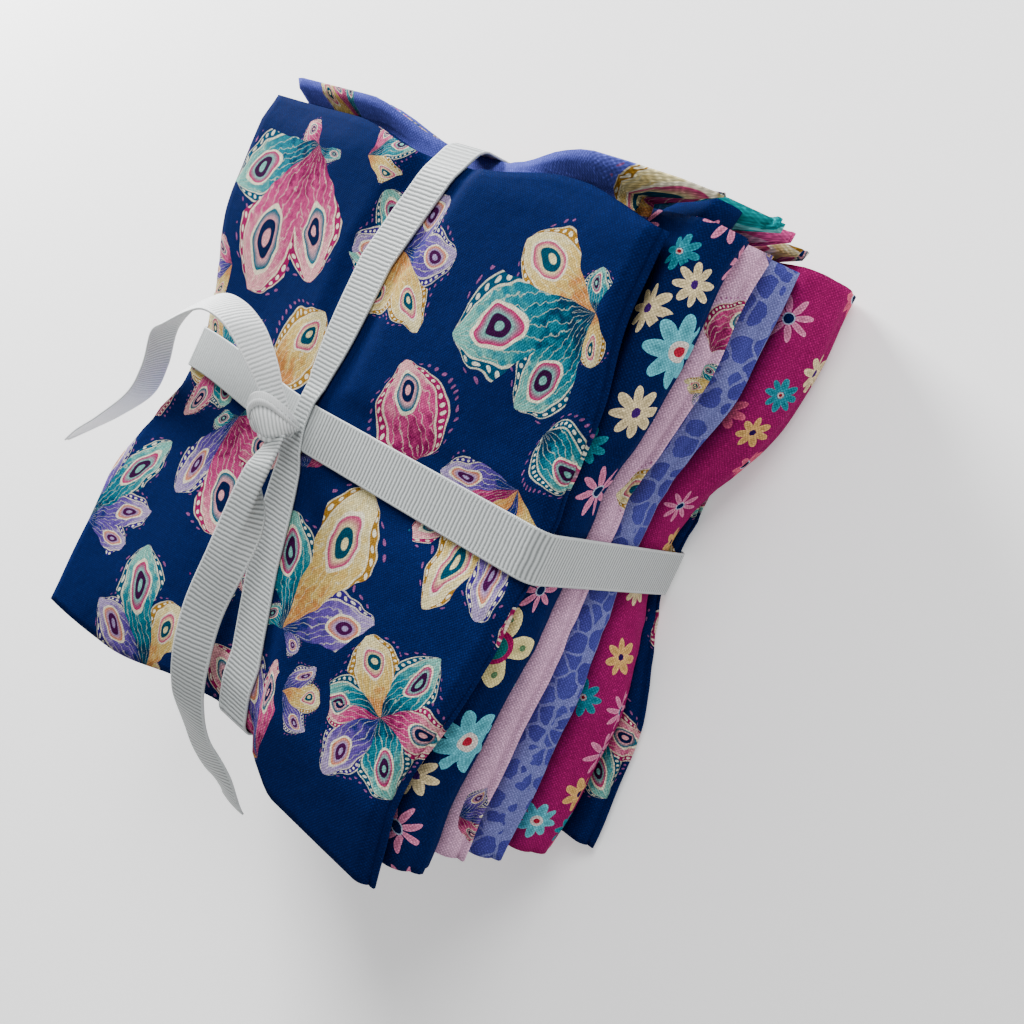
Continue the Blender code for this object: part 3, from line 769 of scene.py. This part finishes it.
def daisies(tree, place, ground, chart, tile):
    spot = nearestMotif(tree, warped(tree, place, 0.35, 0.5), chart, tile)
    x, y, kind = split(tree, spot)
    radius = spanOf(tree, x, y)
    count = times(tree, byKind(tree, kind, [n / 10 for n in daisyKinds["petals"]]), 10)
    half = maths(tree, "DIVIDE", math.pi, count)
    folded = maths(tree, "WRAP", maths(tree, "ARCTAN2", y, x), half, times(tree, half, -1))
    along = times(tree, radius, maths(tree, "COSINE", folded))
    across = times(tree, radius, maths(tree, "SINE", folded))
    tip = maths(tree, "DIVIDE", minus(tree, along, 0.58), 0.41)
    side = maths(tree, "DIVIDE", across, byKind(tree, kind, daisyKinds["width"]))
    petal = spanOf(tree, tip, side)
    ink = byKind(tree, kind, daisyKinds["petal"])
    ink = vectors(tree, "SCALE", ink, scale=timesPlus(tree, petal, 0.35, 0.72))
    result = colour(tree, below(tree, petal, 1), ground, ink)
    centre = below(tree, radius, byKind(tree, kind, daisyKinds["ringSize"]))
    result = colour(tree, centre, result, byKind(tree, kind, daisyKinds["ring"]))
    heart = below(tree, radius, byKind(tree, kind, daisyKinds["heartSize"]))
    result = colour(tree, heart, result, byKind(tree, kind, daisyKinds["heart"]))
    # the large daisy has a small eye in each petal
    eye = below(tree, spanOf(tree, minus(tree, along, 0.68), across), 0.075)
    eye = times(tree, eye, maths(tree, "COMPARE", kind, 5, 0.1))
    return colour(tree, eye, result, linear((110, 140, 110)))


def dots(tree, place, ground, inks, scale, size, stretch=(1, 1, 1)):  # packed ovals of uneven size
    moved = warped(tree, vectors(tree, "MULTIPLY", place, stretch), 0.3, 1.6)
    cells = []
    for feature in ("DISTANCE_TO_EDGE", "F1"):
        node = tree.nodes.new("ShaderNodeTexVoronoi")
        node.feature = feature
        node.inputs["Scale"].default_value = scale
        node.inputs["Randomness"].default_value = 0.7
        put(tree, node.inputs["Vector"], moved)
        cells.append(node)
    ink = colour(tree, split(tree, cells[1].outputs["Color"])[0], seenAs(inks[0]), seenAs(inks[1]))
    blot = noise(tree, place, 2.2, 2.0)[0]
    inset = timesPlus(tree, cells[0].outputs["Distance"], 1.4, -0.08)
    disc = minus(tree, size, cells[1].outputs["Distance"])
    depthIn = maths(tree, "SMOOTH_MIN", inset, disc, 0.08)
    depthIn = timesPlus(tree, blot, 0.04, depthIn)
    return colour(tree, smooth(tree, depthIn, 0.0, 0.02), ground, ink)


# Palmettes: wide fan, rosette, single drop, narrow fan, sprig
petalKinds = {
    "sector": [46, 60, 179, 30, 44], "spread": [100, 181, 10, 64, 50],
    "width": [0.32, 0.37, 0.46, 0.22, 0.25],
    "peak": [1.25, 1.1, 0.8, 1.2, 1.1], "length": [1.75, 1.0, 1.85, 1.8, 1.75],
    "narrowing": [0.82, 0, 0, 0.8, 0.8],
}
petalBases = [0.8, 0, 0.9, 0.85, 0.8]
petalInks = {
    "edge": [(0, 92, 118), (158, 42, 108), (165, 132, 62), (70, 52, 132)],
    "root": [(5, 70, 100), (140, 40, 100), (190, 140, 90), (40, 60, 120)],
    "middle": [(30, 130, 145), (188, 88, 138), (205, 182, 120), (112, 92, 160)],
    "tip": [(128, 180, 172), (215, 165, 170), (215, 205, 165), (165, 150, 185)],
    "drop": [(178, 58, 118), (15, 112, 130), (185, 85, 130), (200, 140, 110)],
    "core": [(75, 20, 80), (5, 45, 90), (15, 90, 110), (90, 30, 90)],
}


def palmettes(tree, place, ground, chart, tile, specks=None):
    bent = warped(tree, place, 0.13, 4.0)
    x, y, mark = split(tree, nearestMotif(tree, bent, chart, tile, petalBases))
    kind = maths(tree, "FLOOR", maths(tree, "ADD", mark, 0.001))
    radius = spanOf(tree, x, y)
    sector = times(tree, byKind(tree, kind, [s / 180 for s in petalKinds["sector"]]), math.pi)
    angle = maths(tree, "ARCTAN2", y, x)
    index = maths(tree, "FLOOR", maths(tree, "ADD", maths(tree, "DIVIDE", angle, sector), 0.5))
    heading = times(tree, index, sector)
    folded = minus(tree, angle, heading)
    spread = times(tree, byKind(tree, kind, [min(s, 180) / 180 for s in petalKinds["spread"]]), math.pi)
    within = below(tree, maths(tree, "ABSOLUTE", heading), spread)
    pick = tree.nodes.new("ShaderNodeTexWhiteNoise")
    put(tree, pick.inputs["Vector"], joinedUp(tree, index, mark, 0.5))
    chance, second, third = split(tree, pick.outputs["Color"])
    length = maths(tree, "COSINE", times(tree, heading, byKind(tree, kind, petalKinds["narrowing"])))
    length = times(tree, length, byKind(tree, kind, [v / 2 for v in petalKinds["length"]]))
    length = times(tree, length, timesPlus(tree, second, 0.3, 1.7))
    along = maths(tree, "DIVIDE", times(tree, radius, maths(tree, "COSINE", folded)), length)
    across = maths(tree, "DIVIDE", times(tree, radius, maths(tree, "SINE", folded)), length)
    hook = timesPlus(tree, third, 0.24, -0.12)
    across = timesPlus(tree, times(tree, along, along), hook, across)
    up = maths(tree, "MINIMUM", maths(tree, "MAXIMUM", along, 0.001), 0.999)
    full = maths(tree, "POWER", up, times(tree, byKind(tree, kind,
                                                       [v / 2 for v in petalKinds["peak"]]), 2))
    full = maths(tree, "POWER", maths(tree, "SINE", times(tree, full, math.pi)), 0.72)
    width = maths(tree, "MAXIMUM", times(tree, full, byKind(tree, kind, petalKinds["width"])), 0.001)
    off = maths(tree, "DIVIDE", across, width)
    edge = maths(tree, "ABSOLUTE", off)
    scheme = maths(tree, "FLOOR", times(tree, chance, 3.999))
    ink = {part: byKind(tree, scheme, inks) for part, inks in petalInks.items()}
    cloud = noise(tree, place, 0.45, 3.0)[0]
    ripe = timesPlus(tree, minus(tree, cloud, 0.5), 0.9, along)
    body = colour(tree, smooth(tree, ripe, 0.08, 0.45), ink["root"], ink["middle"])
    body = colour(tree, smooth(tree, ripe, 0.45, 0.95), body, ink["tip"])
    # strands along the petal, curving with it
    strand = timesPlus(tree, along, 2.2, times(tree, edge, 4.2))
    strand = maths(tree, "ABSOLUTE", maths(tree, "SINE",
                                           timesPlus(tree, cloud, 5.0, times(tree, strand, math.pi))))
    body = colour(tree, times(tree, smooth(tree, strand, 0.28, 0.08), 0.55), body,
                  linear((215, 212, 190)))
    # the band along its edge, with beads
    band = smooth(tree, edge, 0.70, 0.73)
    body = colour(tree, band, body, ink["edge"])
    bead = minus(tree, maths(tree, "FRACT", times(tree, along, 14)), 0.5)
    inBand = times(tree, minus(tree, edge, 0.83), 4.5)
    beads = smooth(tree, spanOf(tree, bead, inBand), 0.30, 0.22)
    body = colour(tree, times(tree, beads, 0.9), body, linear((225, 222, 205)))
    for line, wide in ((0.70, 0.035), (0.965, 0.04)):
        near = maths(tree, "ABSOLUTE", minus(tree, edge, line))
        body = colour(tree, times(tree, smooth(tree, near, wide, wide * 0.5), 0.85), body,
                      linear((218, 212, 190)))
    # nested drops inside
    tip = maths(tree, "DIVIDE", minus(tree, along, 0.66), 0.21)
    side = maths(tree, "DIVIDE", off, 0.46)
    side = times(tree, side, timesPlus(tree, tip, -0.25, 1.15))
    drop = spanOf(tree, tip, side)
    dropInk = colour(tree, smooth(tree, drop, 0.5, 0.9), ink["tip"], ink["drop"])
    dropInk = colour(tree, smooth(tree, drop, 0.56, 0.50), dropInk, ink["core"])
    dropInk = colour(tree, smooth(tree, drop, 0.26, 0.20), dropInk, ink["tip"])
    body = colour(tree, smooth(tree, drop, 1.0, 0.95), body, dropInk)
    ring = maths(tree, "ABSOLUTE", minus(tree, drop, 0.97))
    body = colour(tree, smooth(tree, ring, 0.10, 0.05), body, linear((222, 215, 195)))
    shade = timesPlus(tree, noise(tree, place, 1.4, 3.0)[0], 0.7, 0.62)
    body = vectors(tree, "SCALE", body, scale=shade)
    inside = times(tree, smooth(tree, edge, 1.0, 0.97), below(tree, along, 1))
    base = ground
    if specks:
        cells = tree.nodes.new("ShaderNodeTexVoronoi")
        cells.inputs["Scale"].default_value = 0.15
        put(tree, cells.inputs["Vector"], place)
        luck = split(tree, cells.outputs["Color"])
        small = below(tree, cells.outputs["Distance"], times(tree, luck[1], 0.09))
        chosen = times(tree, small, maths(tree, "GREATER_THAN", luck[0], 0.5))
        base = colour(tree, chosen, base, colour(tree, luck[2], linear(specks[0]), linear(specks[1])))
    # a trail of dots outside each petal
    outside = times(tree, minus(tree, edge, 1.22), 3.0)
    trail = below(tree, spanOf(tree, bead, outside), 0.2)
    trail = times(tree, trail, below(tree, along, 0.93))
    base = colour(tree, times(tree, times(tree, trail, within), 0.8), base, linear((165, 110, 150)))
    return colour(tree, times(tree, inside, within), base, body)


# Motif charts: x, y, radius in mm, kind (its fraction picks the colours), turn in degrees
faceChart = [
    (-10, 64, 8, 4.7, 30), (-66, -14, 9, 2.4, 80), (2, -2, 8, 4.3, 100), (-38, 22, 7, 2.1, 10),
    (-40, 42, 24, 0.12, 250), (6, 43, 19, 1.31, 10), (47, 40, 21, 0.55, 200),
    (25, 14, 13, 2.47, 130), (-16, 16, 13, 2.62, 60), (-50, 3, 16, 1.83, 25),
    (53, -4, 18, 3.24, 250), (24, -24, 21, 0.71, 80), (-22, -20, 20, 0.43, 300),
    (-55, -36, 19, 3.15, 60), (56, -42, 18, 1.66, 15), (-26, -60, 18, 0.91, 120),
    (14, -62, 19, 3.35, 160), (-62, 24, 8, 4.2, 190), (36, -50, 8, 4.4, 20), (-2, -40, 7, 4.6, 270),
    (66, 18, 9, 2.2, 330),
]
edgeChart = [
    (-47, 71, 9, 3.2, 160), (52, 66, 15, 0.6, 110), (30, 40, 20, 2.3, 50), (-30, 30, 20, 0.4, 20),
    (-20, -30, 22, 0.8, 280), (40, -40, 20, 1.7, 10), (-30, -70, 14, 0.3, 60),
    (20, -74, 12, 1.5, 60),
]
scrollChart = [
    (0.5, 54, 7, 2.3, 60), (1.8, 42, 6.5, 1.7, 20), (2.6, 17.6, 7, 2.5, 200), (0, -58, 7, 4.3, 20),
    (3, 71, 5, 3.2, 60),
]
navyDaisyChart = [
    (-4.3, 71.8, 5.4, 3, 30), (7.5, 65.5, 5.6, 3, 10), (-9, 62.2, 3.8, 2, 0),
    (-3.7, 57.6, 4.3, 1, 15), (-10, 50.5, 5.0, 1, 5), (-0.2, 45.2, 7.5, 0, 10),
    (-3.0, 31.8, 5.3, 1, 20), (-8.5, 22.5, 4.2, 2, 0), (0.3, 14.8, 5.8, 3, 25),
    (-3.4, -7.2, 4.8, 3, 12), (-7.1, -20.4, 9.0, 5, 12), (-2.1, -40.4, 7.3, 0, 25),
    (-8.8, -50, 5.0, 1, 0), (-8.0, -61.5, 5.6, 3, 20), (9, -28, 4.0, 2, 0), (12, 3, 5.0, 1, 0),
    (11, -56, 4.4, 2, 0),
]
magentaChart = [
    (6.0, 71.5, 5.0, 6, 10), (12, 62, 4.8, 3, 0), (-8.5, 60.8, 5.2, 3, 20), (4.0, 53, 4.6, 1, 10),
    (-2.2, 45.5, 3.9, 2, 5), (-2.8, 36, 3.6, 4, 0), (4.5, 28.8, 4.4, 6, 30), (-3, 15, 4.2, 3, 10),
    (4, 6, 4.0, 4, 0), (-2, -6, 4.0, 1, 0), (-2.5, -21.2, 4.2, 4, 0), (-8.7, -31.8, 4.2, 2, 10),
    (2.1, -32.7, 4.5, 3, 0), (2.9, -43.3, 5.6, 3, 20), (1.1, -53.5, 4.4, 4, 10),
    (-6.0, -61.7, 4.6, 0, 0), (3.6, -63, 4.2, 2, 0), (-11, 38, 4.6, 6, 0), (13, 0, 4.8, 3, 0),
]
prints = {
    "navy_print": (palmettes, 1, (2, 21, 68), (faceChart, (142, 150),
                                               ((40, 120, 145), (150, 60, 120)))),
    "periwinkle_print": (palmettes, -1, (72, 78, 158),
                         (edgeChart, (150, 170), ((180, 110, 160), (110, 180, 190)))),
    "navy_daisy_print": (daisies, 0, (3, 22, 68), (navyDaisyChart, (34, 146))),
    "teal_dot_print": (dots, 0, (100, 182, 182), (((0, 108, 114), (10, 128, 130)), 0.19, 0.62,
                                                  (1, 0.62, 1))),
    "pink_print": (palmettes, 0, (200, 155, 184), (scrollChart, (60, 146))),
    "pink_dot_print": (dots, 0, (218, 165, 188), (((190, 60, 125), (205, 82, 142)), 0.19, 0.62,
                                                  (1, 0.62, 1))),
    "blue_dot_print": (dots, 0, (104, 108, 165), (((58, 58, 130), (66, 68, 142)), 0.19, 0.58)),
    "cream_print": (palmettes, -1, (226, 216, 192), (edgeChart, (150, 170))),
    "magenta_print": (daisies, 0, (132, 16, 82), (magentaChart, (34, 142))),
}

finishes = {}
for slotName, (design, side, ground, details) in prints.items():
    material, tree, shader = newMaterial(slotName)
    node = tree.nodes.new("ShaderNodeUVMap")
    node.uv_map = "flatCloth"
    place = node.outputs[0]
    if side:  # charted from the middle of the ply above the fold, as it lies on the stack
        place = vectors(tree, "MULTIPLY_ADD", place, (side, 1, 1), (70 * side, 0, 0))
    clothFinish(tree, shader, place, design(tree, place, seenAs(ground), *details))
    finishes[slotName] = material
print("prints mixed")

# Rib tone and darker groove tone of the white ribbon; the groove tone is painted shade between the ribs
ribbonLook = {
    "rib": 1.0, "edge": 4.75, "bump": 0.5,
    # the second pair is a lighter copy of the same white ribbon, painted light for the knot and the
    # side tail
    "plain": ((186, 191, 191), (118, 122, 122)), "paintedLight": ((238, 241, 241), (180, 184, 184)),
}


def ribbonFinish(name, kind, plainUntil):  # ribs across, the grooves between them darkened in colour as painted shade; ribs, painted shade and bump are weaker left of plainUntil
    material, tree, shader = newMaterial(name)
    node = tree.nodes.new("ShaderNodeUVMap")
    node.uv_map = "flatCloth"
    place = node.outputs[0]
    x, y, _ = split(tree, place)
    slip = noise(tree, vectors(tree, "MULTIPLY", place, (0.2, 1.0, 1)), 0.5, 1.0)[0]
    along = maths(tree, "ADD", x, times(tree, slip, 0.3))
    ribs = maths(tree, "SINE", times(tree, along, 2 * math.pi / ribbonLook["rib"]))
    ribs = timesPlus(tree, ribs, 0.5, 0.5)
    clear = smooth(tree, x, plainUntil - 12, plainUntil) if plainUntil else 1.0
    ribs = mixed(tree, "FLOAT", clear, timesPlus(tree, ribs, 0.3, 0.4), ribs)
    cords = maths(tree, "SINE", times(tree, x, 2 * math.pi / 0.5))
    edge = maths(tree, "GREATER_THAN", maths(tree, "ABSOLUTE", y), ribbonLook["edge"])
    threads = noise(tree, vectors(tree, "MULTIPLY", place, (0.5, 5, 1)), 1.0, 2.0)[0]
    level = mixed(tree, "FLOAT", edge, ribs, timesPlus(tree, cords, 0.2, 0.7))
    level = maths(tree, "ADD", level, timesPlus(tree, threads, 0.5, -0.25))
    # the tone runs from the darker groove colour to the rib colour: painted shade in the grooves, along
    # with the thread unevenness
    tone = colour(tree, smooth(tree, level, -0.1, 0.9), linear(ribbonLook[kind][1]),
                  linear(ribbonLook[kind][0]))
    put(tree, shader.inputs["Base Color"], tone)
    bump = tree.nodes.new("ShaderNodeBump")
    bump.inputs["Strength"].default_value = ribbonLook["bump"]
    bump.inputs["Distance"].default_value = 0.18 * mm
    put(tree, bump.inputs["Height"], level)
    put(tree, shader.inputs["Normal"], bump.outputs[0])
    shader.inputs["Roughness"].default_value = 0.45
    shader.inputs["Specular IOR Level"].default_value = 0.4
    return material


# the loose copy is the same ribbon painted lighter, as painted light on the knot and the side tail
ribbonWhites = {
    "along": ribbonFinish("ribbon_white", "plain", 0),
    "across": ribbonFinish("ribbon_white_across", "plain", 62),
    "loose": ribbonFinish("ribbon_white_loose", "paintedLight", 0),
}
for cloth in cloths:
    pieces[cloth.name].data.materials.append(finishes[cloth.slot])
for strip in list(ribbonPieces.values()) + knotPieces:
    # the knot and the side tail get the copy painted lighter, as painted light
    loose = "side" in strip.name or "knot" in strip.name
    kind = "across" if "across" in strip.name else "loose" if loose else "along"
    strip.data.materials.append(ribbonWhites[kind])
print("materials given")

studio = {
    "floor": (250, 250, 250), "ambient": 0.58, "glow": 0.3, "cameraPlace": (0.21333, 0.03141, 0.23702),
    "right": (0.68670, 0.42370, -0.59070), "up": (-0.38500, 0.90123, 0.19886), "lens": 40.43,
    "lights": [("window", (-0.60, 0.42, 0.27), 0.3, 18), ("overhead", (0.22, 0.62, 0.62), 0.45, 6.5)],
}
mesh = bpy.data.meshes.new("floor")
plane = bmesh.new()
bmesh.ops.create_grid(plane, x_segments=1, y_segments=1, size=4)
plane.to_mesh(mesh)
plane.free()
floor = bpy.data.objects.new("floor", mesh)
bpy.context.scene.collection.objects.link(floor)
material, tree, shader = newMaterial("floor_pale")
shader.inputs["Base Color"].default_value = (*linear(studio["floor"]), 1)
shader.inputs["Roughness"].default_value = 0.9
shader.inputs["Emission Color"].default_value = (1, 1, 1, 1)
shader.inputs["Emission Strength"].default_value = studio["glow"]
mesh.materials.append(material)

for name, spot, size, power in studio["lights"]:
    light = bpy.data.lights.new(name, "AREA")
    light.size = size
    light.energy = power
    lamp = bpy.data.objects.new(name, light)
    bpy.context.scene.collection.objects.link(lamp)
    lamp.location = spot
    lamp.rotation_euler = (Vector((0, 0, 0.04)) - Vector(spot)).to_track_quat("-Z", "Y").to_euler()
world = bpy.data.worlds.new("studio")
world.use_nodes = True
world.node_tree.nodes["Background"].inputs[0].default_value = (1, 1, 1, 1)
world.node_tree.nodes["Background"].inputs[1].default_value = studio["ambient"]
bpy.context.scene.world = world

right, up = Vector(studio["right"]), Vector(studio["up"])
camera = bpy.data.objects.new("camera", bpy.data.cameras.new("camera"))
bpy.context.scene.collection.objects.link(camera)
turned = Matrix((right, up, right.cross(up))).transposed().to_4x4()
camera.matrix_world = Matrix.Translation(studio["cameraPlace"]) @ turned
camera.data.lens = studio["lens"]
camera.data.sensor_width = 36
camera.data.clip_start = 0.01
bpy.context.scene.camera = camera
print("studio lit")
